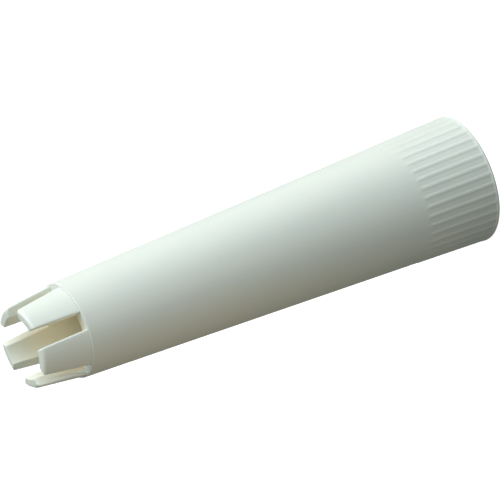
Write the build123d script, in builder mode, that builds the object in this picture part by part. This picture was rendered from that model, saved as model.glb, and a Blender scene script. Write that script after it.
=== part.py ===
"""Tapered penholder sleeve with five sprung fingers round its narrow mouth.

The sleeve stands on its wide end: the origin is the centre of that end's flat
face, and +Z runs along the sleeve's axis towards the fingers. Millimetres.
"""

from build123d import *
import math
import os

# Lengths along the axis
BARREL_LENGTH = 58.8
FINGER_LENGTH = 6.5

# Outside of the barrel: a plain cone between the two ends
WIDE_RADIUS = 8.15
RIM_RADIUS = 6.14
RIM_ROUNDING = 0.12

# Inside of the barrel: a cone too, so that the wall is thickest at the rim
WIDE_BORE_RADIUS = 6.9
RIM_BORE_RADIUS = 4.35
MOUTH_CHAMFER = 0.25

# Smooth lip round the wide end, level with the ribs that run into it
LIP_RISE = 0.1
LIP_HEIGHT = 0.3
LIP_ROUNDING = 0.08

# Ribs of the grip band
RIB_COUNT = 40
RIB_WIDTH = 0.42
RIB_RISE = 0.1
RIB_ROOT_DEPTH = 0.2
RIB_BAND_LENGTH = 10.3
RIB_RUN_OUT = 0.7

# Fingers, each standing a hair clear of the rim that it flexes from
FINGER_COUNT = 5
FINGER_ROOT_GAP = 0.03
FINGER_ROOT_RADIUS = 5.96
FINGER_TIP_RADIUS = 5.23
FINGER_ROOT_BORE = 4.33
TIP_ROUNDING = 0.45

# Slots between the fingers, a little narrower at the root, as the mould's blades taper
ROOT_SLOT_WIDTH = 2.18
TIP_SLOT_WIDTH = 2.54

# Short straight land inside the tips, which grips what is pushed in
GRIP_RADIUS = 4.0
GRIP_LAND_LENGTH = 1.4
GRIP_LEAD_IN = 0.12

FINGER_PITCH = 360 / FINGER_COUNT
FINGER_ROOT_Z = BARREL_LENGTH + FINGER_ROOT_GAP
TIP_Z = BARREL_LENGTH + FINGER_LENGTH


def outside_radius(z):
    """Radius of the barrel's plain cone at height z."""
    return WIDE_RADIUS + (RIM_RADIUS - WIDE_RADIUS) * z / BARREL_LENGTH


def make_ribs():
    """The grip band's ribs, as forty solids that sink into the barrel's wall."""
    bottom = LIP_HEIGHT / 2
    shoulder = RIB_BAND_LENGTH - RIB_RUN_OUT
    with BuildPart() as ribs:
        # One ring with the ribs' height, which slopes away at its upper end
        with BuildSketch(Plane.XZ):
            with BuildLine():
                Polyline(
                    (outside_radius(bottom) - RIB_ROOT_DEPTH, bottom),
                    (outside_radius(bottom) + RIB_RISE, bottom),
                    (outside_radius(shoulder) + RIB_RISE, shoulder),
                    (outside_radius(RIB_BAND_LENGTH), RIB_BAND_LENGTH),
                    (outside_radius(RIB_BAND_LENGTH) - RIB_ROOT_DEPTH, RIB_BAND_LENGTH),
                    close=True,
                )
            make_face()
        revolve(axis=Axis.Z)
        # Of that ring, only the narrow strips that are the ribs stay
        with BuildSketch(Plane.XY):
            with PolarLocations(WIDE_RADIUS, RIB_COUNT):
                Rectangle(4 * (RIB_ROOT_DEPTH + RIB_RISE), RIB_WIDTH)
        extrude(amount=RIB_BAND_LENGTH + 1, mode=Mode.INTERSECT)
    return ribs.part


def make_barrel():
    """Hollow cone with a lip and ribs at its wide end and a flat rim at its narrow end."""
    lip_radius = WIDE_RADIUS + LIP_RISE
    with BuildPart() as barrel:
        with BuildSketch(Plane.XZ) as section:
            with BuildLine():
                Polyline(
                    (WIDE_BORE_RADIUS + MOUTH_CHAMFER, 0),
                    (lip_radius, 0),
                    (lip_radius, LIP_HEIGHT),
                    (outside_radius(LIP_HEIGHT), LIP_HEIGHT),
                    (RIM_RADIUS, BARREL_LENGTH),
                    (RIM_BORE_RADIUS, BARREL_LENGTH),
                    (WIDE_BORE_RADIUS, MOUTH_CHAMFER),
                    close=True,
                )
            make_face()
            rim_corner = section.vertices().group_by(Axis.Y)[-1].sort_by(Axis.X)[-1]
            fillet(rim_corner, RIM_ROUNDING)
            lip_corners = section.vertices().group_by(Axis.X)[-1]
            fillet(lip_corners, LIP_ROUNDING)
        revolve(axis=Axis.Z)
        add(make_ribs())
    barrel.part.label = "barrel"
    export_step(barrel.part, "parts/barrel.step")


def wedge_corners(slot_width):
    """The corners of one finger's wedge, seen along the axis, where the slots have this width."""
    half_pitch = math.radians(FINGER_PITCH / 2)
    apex = slot_width / 2 / math.sin(half_pitch)
    far_x = apex + 2 * RIM_RADIUS * math.cos(half_pitch)
    far_y = 2 * RIM_RADIUS * math.sin(half_pitch)
    return [(apex, 0), (far_x, -far_y), (far_x, far_y)]


def make_finger(number):
    """One sprung finger: a leaning strip of a cone, with half a slot on each side."""
    turn = (number - 1) * FINGER_PITCH
    with BuildPart() as finger:
        # The ring of all five fingers
        with BuildSketch(Plane.XZ) as section:
            with BuildLine():
                Polyline(
                    (FINGER_ROOT_BORE, FINGER_ROOT_Z),
                    (FINGER_ROOT_RADIUS, FINGER_ROOT_Z),
                    (FINGER_TIP_RADIUS, TIP_Z),
                    (GRIP_RADIUS + GRIP_LEAD_IN, TIP_Z),
                    (GRIP_RADIUS, TIP_Z - GRIP_LEAD_IN),
                    (GRIP_RADIUS, TIP_Z - GRIP_LEAD_IN - GRIP_LAND_LENGTH),
                    close=True,
                )
            make_face()
            tip_corner = section.vertices().group_by(Axis.Y)[-1].sort_by(Axis.X)[-1]
            fillet(tip_corner, TIP_ROUNDING)
        revolve(axis=Axis.Z)
        # A wedge that narrows towards the tip takes this finger out of the ring
        for height, slot_width in ((BARREL_LENGTH, ROOT_SLOT_WIDTH), (TIP_Z, TIP_SLOT_WIDTH)):
            with BuildSketch(Plane.XY.offset(height).rotated((0, 0, turn))):
                with BuildLine():
                    Polyline(*wedge_corners(slot_width), close=True)
                make_face()
        loft(mode=Mode.INTERSECT)
    finger.part.label = f"finger_{number}"
    export_step(finger.part, f"parts/finger_{number}.step")


os.makedirs("parts", exist_ok=True)

make_barrel()
for finger_number in range(1, FINGER_COUNT + 1):
    make_finger(finger_number)
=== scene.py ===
import math

import bmesh
import bpy
from mathutils import Matrix, Vector


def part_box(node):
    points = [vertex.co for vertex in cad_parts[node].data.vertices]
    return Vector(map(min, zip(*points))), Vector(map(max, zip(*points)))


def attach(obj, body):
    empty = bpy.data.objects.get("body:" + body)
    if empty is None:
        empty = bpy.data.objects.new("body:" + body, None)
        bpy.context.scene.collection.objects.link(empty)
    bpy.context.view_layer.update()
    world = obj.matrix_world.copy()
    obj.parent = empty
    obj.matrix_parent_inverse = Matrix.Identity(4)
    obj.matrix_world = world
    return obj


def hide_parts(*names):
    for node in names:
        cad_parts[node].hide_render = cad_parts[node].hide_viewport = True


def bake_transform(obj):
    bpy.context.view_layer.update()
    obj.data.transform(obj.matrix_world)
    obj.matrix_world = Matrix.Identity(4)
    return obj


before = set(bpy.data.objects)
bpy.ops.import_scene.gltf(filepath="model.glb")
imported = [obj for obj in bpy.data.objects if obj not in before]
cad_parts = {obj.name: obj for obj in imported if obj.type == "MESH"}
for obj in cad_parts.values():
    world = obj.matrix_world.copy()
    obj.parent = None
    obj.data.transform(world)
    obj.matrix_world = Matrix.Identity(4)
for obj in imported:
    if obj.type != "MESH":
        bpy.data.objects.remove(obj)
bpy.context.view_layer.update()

# Driving sizes in metres. The heights and the number of fingers come from the frame.
MM = 0.001
RIM_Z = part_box("barrel")[1].z
TIP_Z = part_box("finger_1")[1].z
FINGERS = sorted(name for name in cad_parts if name.startswith("finger_"))
FINGER_PITCH = 2 * math.pi / len(FINGERS)

# Barrel: a hollow cone, with the outside and the bore given at each end
WIDE_RADIUS = 8.15 * MM
RIM_RADIUS = 6.14 * MM
WIDE_BORE = 6.9 * MM
RIM_BORE = 4.35 * MM
RIM_ROUNDING = 0.12 * MM
RIM_BORE_ROUNDING = 0.02 * MM
WIDE_BORE_ROUNDING = 0.25 * MM

# Lip round the wide end: a plain band up to its height, then a flank down to the cone
LIP_RADIUS = 8.23 * MM
LIP_HEIGHT = 0.22 * MM
LIP_END = 0.42 * MM
LIP_ROUNDING = 0.06 * MM

# Ribs of the grip band, which fade out into the cone at their upper ends
RIB_COUNT = 40
RIB_PITCH = 2 * math.pi / RIB_COUNT
RIB_RISE = 0.055 * MM
RIB_TOP_WIDTH = 0.16 * MM
RIB_FOOT_WIDTH = 0.75 * MM
RIB_FADE_START = 9.6 * MM
RIB_FADE_END = 10.35 * MM

# Fingers
ROOT_SLOT_WIDTH = 2.18 * MM
TIP_SLOT_WIDTH = 2.54 * MM
ROOT_RADIUS = 5.96 * MM
TIP_RADIUS = 5.23 * MM
ROOT_BORE = 4.33 * MM
GRIP_RADIUS = 4.0 * MM
GRIP_LAND = 1.6 * MM
LAND_ROUNDING = 1.5 * MM
TIP_ROUNDING = 0.45 * MM
MOUTH_ROUNDING = 0.12 * MM
FINGER_SINK = 0.12 * MM

# Softness of the edges along a finger's side walls. The outer edges are those beyond a radius.
OUTER_SOFTNESS = 0.28 * MM
INNER_SOFTNESS = 0.1 * MM
OUTER_EDGES_FROM = 0.93 * (ROOT_BORE + ROOT_RADIUS) / 2

# How finely the meshes are divided. A ring close above the lip keeps its foot crisp.
ARC_STEPS = 6
BEVEL_STEPS = 4
RIB_FLANK_STEPS = 5
RIB_FADE_STEPS = 8
WALL_STEPS = 8
FINGER_STEPS = 14
LONGEST_STRETCH = 0.3 * MM
CRISP_RING = 0.1 * MM

# Colours of the plastic, and of the painted warm glow and painted shade put on it
DULL_WHITE = (0.79, 0.835, 0.795, 1)
CLEAR_WHITE = (0.82, 0.865, 0.82, 1)
# Painted warm glow round the bore, for light that soaks through the thin walls
PAINTED_GLOW_CREAM = (0.84, 0.79, 0.62, 1)
# Painted shade in the crease where the fingers leave the rim
ROOT_PAINTED_SHADE = (0.73, 0.76, 0.72, 1)

# The painted warm glow, standing in for light that soaks through the walls, starts outside the middle
# of the wall, is full inside it, and ends past the tips
PAINTED_GLOW_START = 0.18 * MM
PAINTED_GLOW_FULL = 0.25 * MM
PAINTED_GLOW_PAST_TIPS = 2 * MM

# The painted shade in the crease at the fingers' roots: its reach above and below the rim, and its
# reach inwards, outer to full
ROOT_SHADE_HEIGHT = 0.2 * MM
ROOT_SHADE_CORE = 0.04 * MM
ROOT_SHADE_DEPTH = 0.1 * MM
ROOT_SHADE_FULL_DEPTH = 0.03 * MM

# Camera: heading and height of its line of sight, and the slope of the sleeve's axis in the view
HEADING = math.radians(31.6)
HEIGHT = math.radians(26.5)
AXIS_SLOPE = math.radians(21.02)

# Its lens and sensor in millimetres, and the width that the view spans at the sleeve
LENS = 800
SENSOR = 36
FRAME_WIDTH = 62.5 * MM

# The place it aims at, measured in the view from the middle of the wide end
AIM_LEFT = 26.59 * MM
AIM_DOWN = 8.93 * MM


def between(start, end, share):
    """The value that lies a share of the way from start to end."""
    return start + (end - start) * share


def smooth_step(value):
    """0 below 0 and 1 above 1, with a smooth rise from one to the other."""
    value = min(1.0, max(0.0, value))
    return value * value * (3 - 2 * value)


# ---------- outlines ----------

def rounded_outline(corners):
    """Closed outline through (r, z, rounding) corners, each replaced by an arc of its rounding."""
    outline = []
    for index, (r, z, rounding) in enumerate(corners):
        here = Vector((r, z))
        if rounding == 0:
            outline.append(here)
            continue
        before = Vector(corners[index - 1][:2])
        after = Vector(corners[(index + 1) % len(corners)][:2])
        to_before = (before - here).normalized()
        to_after = (after - here).normalized()
        half_angle = to_before.angle(to_after) / 2
        reach = rounding / math.tan(half_angle)
        start = here + to_before * reach
        end = here + to_after * reach
        centre = here + (to_before + to_after).normalized() * rounding / math.sin(half_angle)
        sweep = (start - centre).angle_signed(end - centre)
        for step in range(ARC_STEPS + 1):
            turn = Matrix.Rotation(-sweep * step / ARC_STEPS, 2)
            outline.append(centre + turn @ (start - centre))
    return outline


def subdivided(outline, longest):
    """The same closed outline with no stretch longer than the given length."""
    points = []
    for index, point in enumerate(outline):
        following = outline[(index + 1) % len(outline)]
        parts = max(1, math.ceil((following - point).length / longest))
        for part in range(parts):
            points.append(point.lerp(following, part / parts))
    return points


# ---------- barrel ----------

def make_piece(name, vertices, faces, material):
    """A smooth-shaded mesh object from vertex places and faces."""
    mesh = bpy.data.meshes.new(name)
    mesh.from_pydata(vertices, [], faces)
    builder = bmesh.new()
    builder.from_mesh(mesh)
    bmesh.ops.recalc_face_normals(builder, faces=builder.faces)
    builder.to_mesh(mesh)
    builder.free()
    mesh.shade_smooth()
    mesh.materials.append(material)
    piece = bpy.data.objects.new(name, mesh)
    bpy.context.scene.collection.objects.link(piece)
    return piece


def cone_radius(z):
    """Radius of the barrel's plain outside at height z."""
    return between(WIDE_RADIUS, RIM_RADIUS, z / RIM_Z)


def bore_radius(z):
    """Radius of the barrel's bore at height z."""
    return between(WIDE_BORE, RIM_BORE, z / RIM_Z)


def rib_columns():
    """Angles of the mesh's columns, close together on each rib, with the rib's height there."""
    flank = []
    for step in range(RIB_FLANK_STEPS + 1):
        share = step / RIB_FLANK_STEPS
        across = between(RIB_TOP_WIDTH, RIB_FOOT_WIDTH, share)
        flank.append((across / 2 / WIDE_RADIUS, RIB_RISE * (1 - smooth_step(share))))
    columns = []
    for rib in range(RIB_COUNT):
        crest = rib * RIB_PITCH
        columns += [(crest - turn, height) for turn, height in reversed(flank)]
        columns += [(crest + turn, height) for turn, height in flank]
        columns.append((crest + RIB_PITCH / 2, 0.0))
    return columns


def lip_section():
    """Outline of the wide end, from the edge of the bore to the start of the lip's flank."""
    # The last two corners only give the roundings their directions
    return rounded_outline([
        (WIDE_BORE, 0, WIDE_BORE_ROUNDING),
        (LIP_RADIUS, 0, LIP_ROUNDING),
        (LIP_RADIUS, LIP_HEIGHT, LIP_ROUNDING),
        (cone_radius(LIP_END), LIP_END, 0),
        (WIDE_BORE, LIP_END, 0),
    ])[:-2]


def rim_section():
    """Outline of the flat rim, from the end of the cone to the edge of the bore."""
    # The first and last corners only give the roundings their directions
    return rounded_outline([
        (WIDE_RADIUS, 0, 0),
        (RIM_RADIUS, RIM_Z, RIM_ROUNDING),
        (RIM_BORE, RIM_Z, RIM_BORE_ROUNDING),
        (WIDE_BORE, 0, 0),
    ])[1:-1]


def barrel_rings():
    """Rings of the barrel as (radius, z, share of the rib height), round its closed section."""
    rings = [(point.x, point.y, 0.0) for point in lip_section()]
    stations = [LIP_END, LIP_END + CRISP_RING, RIB_FADE_START / 2]
    for step in range(RIB_FADE_STEPS + 1):
        stations.append(between(RIB_FADE_START, RIB_FADE_END, step / RIB_FADE_STEPS))
    for z in stations:
        fade = smooth_step((z - RIB_FADE_START) / (RIB_FADE_END - RIB_FADE_START))
        rings.append((cone_radius(z), z, 1 - fade))
    for step in range(1, WALL_STEPS + 1):
        z = between(RIB_FADE_END, RIM_Z - 2 * RIM_ROUNDING, step / WALL_STEPS)
        rings.append((cone_radius(z), z, 0.0))
    rings += [(point.x, point.y, 0.0) for point in rim_section()]
    for step in range(1, WALL_STEPS):
        z = between(RIM_Z, 0, step / WALL_STEPS)
        rings.append((bore_radius(z), z, 0.0))
    return rings


def make_barrel(material):
    """The whole barrel as one closed mesh, with a ring of columns at each height."""
    columns = rib_columns()
    rings = barrel_rings()
    vertices = []
    for radius, z, share in rings:
        for angle, height in columns:
            reach = radius + height * share
            vertices.append((reach * math.cos(angle), reach * math.sin(angle), z))
    width = len(columns)
    faces = []
    for ring in range(len(rings)):
        here = ring * width
        following = (ring + 1) % len(rings) * width
        for column in range(width):
            beside = (column + 1) % width
            faces.append((here + column, here + beside, following + beside, following + column))
    barrel = make_piece("barrel_shell", vertices, faces, material)
    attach(barrel, "barrel")
    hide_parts("barrel")


# ---------- fingers ----------

def finger_section():
    """Closed section of a finger, from its root sunk in the rim to its rounded tip."""
    root_z = RIM_Z - FINGER_SINK
    outside_slope = (ROOT_RADIUS - TIP_RADIUS) / (TIP_Z - RIM_Z)
    corners = [
        (ROOT_BORE, root_z, 0),
        (ROOT_RADIUS + outside_slope * FINGER_SINK, root_z, 0),
        (TIP_RADIUS, TIP_Z, TIP_ROUNDING),
        (GRIP_RADIUS, TIP_Z, MOUTH_ROUNDING),
        (GRIP_RADIUS, TIP_Z - GRIP_LAND, LAND_ROUNDING),
        (ROOT_BORE, RIM_Z - FINGER_SINK / 2, 0),
    ]
    return subdivided(rounded_outline(corners), LONGEST_STRETCH)


def slot_width(z):
    """Width of the slots at height z: they open a little towards the tips."""
    return between(ROOT_SLOT_WIDTH, TIP_SLOT_WIDTH, (z - RIM_Z) / (TIP_Z - RIM_Z))


def swept_section(section, middle):
    """Vertices and faces of a section swept round the axis, from slot to slot about an angle."""
    vertices = []
    for step in range(FINGER_STEPS + 1):
        side = 2 * step / FINGER_STEPS - 1
        for point in section:
            half_angle = FINGER_PITCH / 2 - math.asin(slot_width(point.y) / 2 / point.x)
            angle = middle + side * half_angle
            vertices.append((point.x * math.cos(angle), point.x * math.sin(angle), point.y))
    count = len(section)
    last = FINGER_STEPS * count
    faces = [tuple(range(count)), tuple(reversed(range(last, last + count)))]
    for step in range(FINGER_STEPS):
        for index in range(count):
            beside = (index + 1) % count
            low, high = step * count, (step + 1) * count
            faces.append((low + index, low + beside, high + beside, high + index))
    return vertices, faces


def soften_side_edges(finger, count):
    """Rounds the edges of a finger's two side walls, the inner ones less than the outer ones."""
    mesh = finger.data
    weights = mesh.attributes.new("bevel_weight_edge", "FLOAT", "EDGE")
    for edge in mesh.edges:
        steps = {index // count for index in edge.vertices}
        if steps in ({0}, {FINGER_STEPS}):
            reach = max(Vector(mesh.vertices[index].co[:2]).length for index in edge.vertices)
            softness = OUTER_SOFTNESS if reach > OUTER_EDGES_FROM else INNER_SOFTNESS
            weights.data[edge.index].value = softness / OUTER_SOFTNESS
    bevel = finger.modifiers.new("soft_edges", "BEVEL")
    bevel.width = OUTER_SOFTNESS
    bevel.segments = BEVEL_STEPS
    bevel.limit_method = "WEIGHT"
    bevel.use_clamp_overlap = False
    bevel.harden_normals = True


def make_finger(node, material):
    """One finger, in place of its CAD node, which it hides."""
    number = int(node.rsplit("_", 1)[1])
    section = finger_section()
    vertices, faces = swept_section(section, (number - 1) * FINGER_PITCH)
    finger = make_piece(node + "_tine", vertices, faces, material)
    soften_side_edges(finger, len(section))
    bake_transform(finger)
    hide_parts(node)


# ---------- materials ----------

def calculate(tree, operation, first, second):
    """A math node on a linked first value and a plain or linked second one."""
    node = tree.nodes.new("ShaderNodeMath")
    node.operation = operation
    tree.links.new(first, node.inputs[0])
    if isinstance(second, float):
        node.inputs[1].default_value = second
    else:
        tree.links.new(second, node.inputs[1])
    return node.outputs["Value"]


def ramp(tree, value, low, high):
    """Smooth step of a linked value, from 0 at low to 1 at high."""
    node = tree.nodes.new("ShaderNodeMapRange")
    node.interpolation_type = "SMOOTHSTEP"
    node.inputs["From Min"].default_value = low
    node.inputs["From Max"].default_value = high
    tree.links.new(value, node.inputs["Value"])
    return node.outputs["Result"]


def blend_colours(tree, share, first, second):
    """A mix of two colours, each a plain tuple or a linked socket."""
    node = tree.nodes.new("ShaderNodeMix")
    node.data_type = "RGBA"
    tree.links.new(share, node.inputs["Factor"])
    # The node's colour sockets share their names with its other ones, so they go by number
    for socket, colour in ((node.inputs[6], first), (node.inputs[7], second)):
        if isinstance(colour, tuple):
            socket.default_value = colour
        else:
            tree.links.new(colour, socket)
    return node.outputs[2]


def noise(tree, vector, scale, detail):
    """Noise over a linked vector, from 0 to 1."""
    node = tree.nodes.new("ShaderNodeTexNoise")
    node.inputs["Scale"].default_value = scale
    node.inputs["Detail"].default_value = detail
    tree.links.new(vector, node.inputs["Vector"])
    return node.outputs["Fac"]


def axis_distance(tree, parts):
    """Distance of the shaded point from the sleeve's axis."""
    across = calculate(tree, "MULTIPLY", parts.outputs["X"], parts.outputs["X"])
    along = calculate(tree, "MULTIPLY", parts.outputs["Y"], parts.outputs["Y"])
    return calculate(tree, "POWER", calculate(tree, "ADD", across, along), 0.5)


def painted_glow_share(tree, parts):
    """Share of painted warm glow, for light that soaks through the walls: 1 on the surfaces round the
    bore, 0 on the outside, growing across the cut walls.
    """
    taper = (WIDE_RADIUS + WIDE_BORE - RIM_RADIUS - RIM_BORE) / 2 / RIM_Z
    wall_lean = calculate(tree, "MULTIPLY", parts.outputs["Z"], -taper)
    from_axis = calculate(tree, "SUBTRACT", axis_distance(tree, parts), wall_lean)
    middle = (WIDE_RADIUS + WIDE_BORE) / 2
    near_bore = ramp(tree, from_axis, middle + PAINTED_GLOW_START, middle - PAINTED_GLOW_FULL)
    behind_tips = ramp(tree, parts.outputs["Z"], TIP_Z + PAINTED_GLOW_PAST_TIPS, RIM_Z)
    return calculate(tree, "MULTIPLY", near_bore, behind_tips)


def root_painted_shade_share(tree, parts):
    """Share of painted shade: 1 in the corner where the fingers leave the rim, 0 elsewhere."""
    above_rim = calculate(tree, "SUBTRACT", parts.outputs["Z"], RIM_Z)
    from_rim = calculate(tree, "ABSOLUTE", above_rim, 0.0)
    near_rim = ramp(tree, from_rim, ROOT_SHADE_HEIGHT, ROOT_SHADE_CORE)
    start, full = ROOT_RADIUS - ROOT_SHADE_DEPTH, ROOT_RADIUS - ROOT_SHADE_FULL_DEPTH
    outer = ramp(tree, axis_distance(tree, parts), start, full)
    return calculate(tree, "MULTIPLY", near_rim, outer)


def plastic_colour_and_painted_light(tree, place):
    """White with soft marks along the flow, a painted warm glow round the bore and painted shade in
    the crease at the fingers' roots.
    """
    parts = tree.nodes.new("ShaderNodeSeparateXYZ")
    tree.links.new(place, parts.inputs["Vector"])
    stretch = tree.nodes.new("ShaderNodeMapping")
    stretch.inputs["Scale"].default_value = (1, 1, 0.2)
    tree.links.new(place, stretch.inputs["Vector"])
    marks = ramp(tree, noise(tree, stretch.outputs["Vector"], scale=160, detail=3), 0.3, 0.7)
    white = blend_colours(tree, marks, DULL_WHITE, CLEAR_WHITE)
    # Painted warm glow round the bore, standing in for light that soaks through the walls
    with_painted_glow = blend_colours(tree, painted_glow_share(tree, parts), white, PAINTED_GLOW_CREAM)
    # Painted shade in the crease where the fingers leave the rim
    return blend_colours(tree, root_painted_shade_share(tree, parts), with_painted_glow, ROOT_PAINTED_SHADE)


def fine_grain(tree, place):
    """Normal of a surface with a barely visible moulded grain."""
    bump = tree.nodes.new("ShaderNodeBump")
    bump.inputs["Strength"].default_value = 0.05
    bump.inputs["Distance"].default_value = 0.05 * MM
    tree.links.new(noise(tree, place, scale=2500, detail=2), bump.inputs["Height"])
    return bump.outputs["Normal"]


def moulded_plastic():
    """White plastic that lets a little light soak in."""
    material = bpy.data.materials.new("moulded_white_plastic")
    material.use_nodes = True
    tree = material.node_tree
    shader = tree.nodes["Principled BSDF"]
    shader.inputs["Roughness"].default_value = 0.5
    shader.inputs["Specular IOR Level"].default_value = 0.25
    shader.inputs["Subsurface Weight"].default_value = 0.15
    shader.inputs["Subsurface Radius"].default_value = (1.0, 0.85, 0.5)
    shader.inputs["Subsurface Scale"].default_value = 0.25 * MM
    place = tree.nodes.new("ShaderNodeTexCoord").outputs["Object"]
    tree.links.new(plastic_colour_and_painted_light(tree, place), shader.inputs["Base Color"])
    tree.links.new(fine_grain(tree, place), shader.inputs["Normal"])
    return material


def pale_floor_material():
    """Matt white that glows a little, so that the floor stays pale under soft light."""
    material = bpy.data.materials.new("pale_floor")
    material.use_nodes = True
    shader = material.node_tree.nodes["Principled BSDF"]
    shader.inputs["Base Color"].default_value = (0.9, 0.9, 0.9, 1)
    shader.inputs["Roughness"].default_value = 1.0
    shader.inputs["Specular IOR Level"].default_value = 0.0
    shader.inputs["Emission Color"].default_value = (1, 1, 1, 1)
    shader.inputs["Emission Strength"].default_value = 0.85
    return material


# ---------- studio ----------

def direction(heading, height):
    """Unit vector towards a heading and a height above the horizon, both in radians."""
    level = math.cos(height)
    return Vector((level * math.cos(heading), level * math.sin(heading), math.sin(height)))


def sight_axes():
    """The camera's right, up and backward directions in the frame."""
    back = direction(HEADING, HEIGHT)
    level_right = Vector((-math.sin(HEADING), math.cos(HEADING), 0))
    level_up = back.cross(level_right)
    right = -math.cos(AXIS_SLOPE) * level_up - math.sin(AXIS_SLOPE) * level_right
    up = -math.sin(AXIS_SLOPE) * level_up + math.cos(AXIS_SLOPE) * level_right
    return right, up, back


def make_camera():
    """A long lens far off, turned so that the sleeve lies aslant in the view."""
    data = bpy.data.cameras.new("camera")
    data.lens = LENS
    data.sensor_width = SENSOR
    data.clip_start = 0.01
    data.clip_end = 10
    camera = bpy.data.objects.new("camera", data)
    bpy.context.scene.collection.objects.link(camera)
    right, up, back = sight_axes()
    aim = -right * AIM_LEFT - up * AIM_DOWN
    distance = FRAME_WIDTH * LENS / SENSOR
    turn = Matrix((right, up, back)).transposed().to_4x4()
    camera.matrix_world = Matrix.Translation(aim + back * distance) @ turn
    bpy.context.scene.camera = camera


def make_area_light(name, turn, height, distance, sides, power, colour):
    """A soft light that faces the middle of the sleeve, at a turn from the camera's heading."""
    data = bpy.data.lights.new(name, "AREA")
    data.shape = "RECTANGLE"
    data.size, data.size_y = sides
    data.energy = power
    data.color = colour
    light = bpy.data.objects.new(name, data)
    bpy.context.scene.collection.objects.link(light)
    towards = direction(HEADING + math.radians(turn), math.radians(height))
    light.location = Vector((0, 0, TIP_Z / 2)) + towards * distance
    light.rotation_mode = "QUATERNION"
    light.rotation_quaternion = (-towards).to_track_quat("-Z", "Y")
    light.visible_camera = False


def make_bore_light():
    """A faint warm glow between the finger roots, for the light that soaks through the walls."""
    data = bpy.data.lights.new("bore", "POINT")
    data.energy = 0.0001
    data.color = (1, 0.93, 0.82)
    data.shadow_soft_size = 2.5 * MM
    light = bpy.data.objects.new("bore", data)
    bpy.context.scene.collection.objects.link(light)
    light.location = (0, 0, RIM_Z - 0.5 * MM)
    light.visible_camera = False


def make_world():
    """A dim cool world that the camera sees as plain white."""
    world = bpy.data.worlds.new("studio")
    bpy.context.scene.world = world
    world.use_nodes = True
    nodes = world.node_tree.nodes
    links = world.node_tree.links
    ambient = nodes["Background"]
    ambient.inputs["Color"].default_value = (0.5, 0.88, 1.0, 1)
    ambient.inputs["Strength"].default_value = 0.1
    seen = nodes.new("ShaderNodeBackground")
    seen.inputs["Color"].default_value = (1, 1, 1, 1)
    seen.inputs["Strength"].default_value = 1.0
    ray = nodes.new("ShaderNodeLightPath")
    mix = nodes.new("ShaderNodeMixShader")
    links.new(ray.outputs["Is Camera Ray"], mix.inputs["Fac"])
    links.new(ambient.outputs["Background"], mix.inputs[1])
    links.new(seen.outputs["Background"], mix.inputs[2])
    links.new(mix.outputs["Shader"], nodes["World Output"].inputs["Surface"])


def make_floor():
    """A pale floor that the camera sees, but that throws no light back onto the sleeve."""
    reach = 3.0
    corners = [(-reach, -reach, 0), (reach, -reach, 0), (reach, reach, 0), (-reach, reach, 0)]
    mesh = bpy.data.meshes.new("floor")
    mesh.from_pydata(corners, [], [(0, 1, 2, 3)])
    mesh.materials.append(pale_floor_material())
    floor = bpy.data.objects.new("floor", mesh)
    bpy.context.scene.collection.objects.link(floor)
    floor.visible_diffuse = False
    floor.visible_glossy = False
    floor.visible_transmission = False


def make_lights():
    """Two large soft lights to one side of the camera, a weak fill to the other, and a back light."""
    make_area_light("key", turn=90, height=30, distance=0.5, sides=(0.7, 0.7),
                    power=3.45, colour=(1, 0.97, 0.925))
    make_area_light("front", turn=45, height=25, distance=0.5, sides=(0.7, 0.7),
                    power=1.95, colour=(0.93, 1, 0.99))
    make_area_light("fill", turn=-60, height=20, distance=0.08, sides=(0.06, 0.06),
                    power=0.0148, colour=(1, 0.72, 0.44))
    make_area_light("back", turn=188, height=0, distance=0.4, sides=(0.16, 0.05),
                    power=0.75, colour=(1, 1, 1))
    make_bore_light()


plastic = moulded_plastic()
make_barrel(plastic)
for finger_node in FINGERS:
    make_finger(finger_node, plastic)
make_camera()
make_world()
make_floor()
make_lights()
bpy.context.scene.view_settings.view_transform = "Standard"
